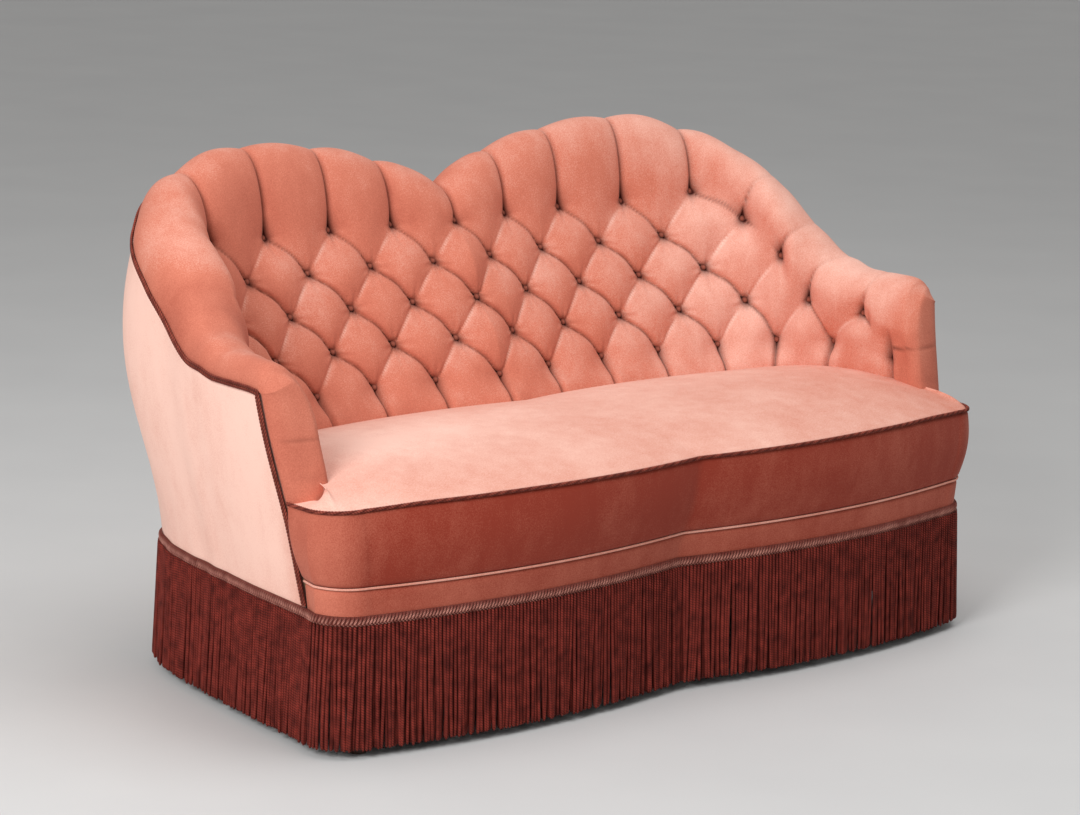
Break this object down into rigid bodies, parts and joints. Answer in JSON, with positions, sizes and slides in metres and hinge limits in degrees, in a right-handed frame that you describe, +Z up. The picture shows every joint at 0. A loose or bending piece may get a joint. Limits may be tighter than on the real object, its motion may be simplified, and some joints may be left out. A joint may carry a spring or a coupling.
{
  "type": "two-seater sofa",
  "caption": "Low button-tufted settee with a double-humped back flowing into its arms, a fixed sprung seat, twisted cord edges and a skirt of bullion fringe.",
  "frame": {"origin": "middle of the sofa's overall outline in plan, on the floor", "axes": "+Z up, -Y is the front where one sits down, X runs along the seat to the sitter's left"},
  "size_m": [1.3678, 0.7238, 0.7784],
  "materials": {
    "pink_velvet": "dusty pink cotton velvet, brushed pile",
    "rust_cord": "dark rust twisted rayon cord",
    "rust_fringe": "dark rust bullion fringe of twisted strands",
    "pink_braid": "rust and pink looped braid",
    "beech": "sawn beech, unfinished",
    "dark_wood": "turned, dark stained and polished",
    "hair_stuffing": "stitched hair and fibre stuffing",
    "hessian": "plain woven jute",
    "jute_webbing": "woven jute webbing",
    "spring_steel": "drawn spring wire",
    "bolt_steel": "plain steel",
    "black_cambric": "thin black cotton cambric"
  },
  "bodies": {
    "root": {"back_fringe": "rust_fringe", "back_hessian": "hessian", "back_rail": "beech", "back_stuffing": "hair_stuffing", "border_welt": "pink_velvet", "braid_heading": "pink_braid", "centre_back_post": "beech", "centre_rail": "beech", "corner_blocks": "beech", "covered_buttons": "pink_velvet", "crosswise_webbing": "jute_webbing", "dust_cover": "black_cambric", "foot_bolts": "bolt_steel", "front_edge_stuffing": "hair_stuffing", "front_fringe": "rust_fringe", "front_rail": "beech", "inside_back_cover": "pink_velvet", "left_arm_board": "beech", "left_arm_front_facing": "pink_velvet", "left_arm_hessian": "hessian", "left_arm_stuffing": "hair_stuffing", "left_arm_tack_rail": "beech", "left_back_tack_rail": "beech", "left_edge_piping": "rust_cord", "left_front_arm_post": "beech", "left_front_foot": "dark_wood", "left_inside_arm_cover": "pink_velvet", "left_outside_arm_cover": "pink_velvet", "left_rear_foot": "dark_wood", "left_rear_post": "beech", "left_side_fringe": "rust_fringe", "left_side_rail": "beech", "left_top_rail": "beech", "lengthwise_webbing": "jute_webbing", "lower_front_border": "pink_velvet", "outside_back_cover": "pink_velvet", "right_arm_board": "beech", "right_arm_front_facing": "pink_velvet", "right_arm_hessian": "hessian", "right_arm_stuffing": "hair_stuffing", "right_arm_tack_rail": "beech", "right_back_tack_rail": "beech", "right_edge_piping": "rust_cord", "right_front_arm_post": "beech", "right_front_foot": "dark_wood", "right_inside_arm_cover": "pink_velvet", "right_outside_arm_cover": "pink_velvet", "right_rear_foot": "dark_wood", "right_rear_post": "beech", "right_side_fringe": "rust_fringe", "right_side_rail": "beech", "right_top_rail": "beech", "seat_cover": "pink_velvet", "seat_edge_rope": "rust_cord", "seat_springs": "spring_steel", "seat_stuffing": "hair_stuffing", "spring_hessian": "hessian", "upper_front_border": "pink_velvet"}
  },
  "joints": []
}
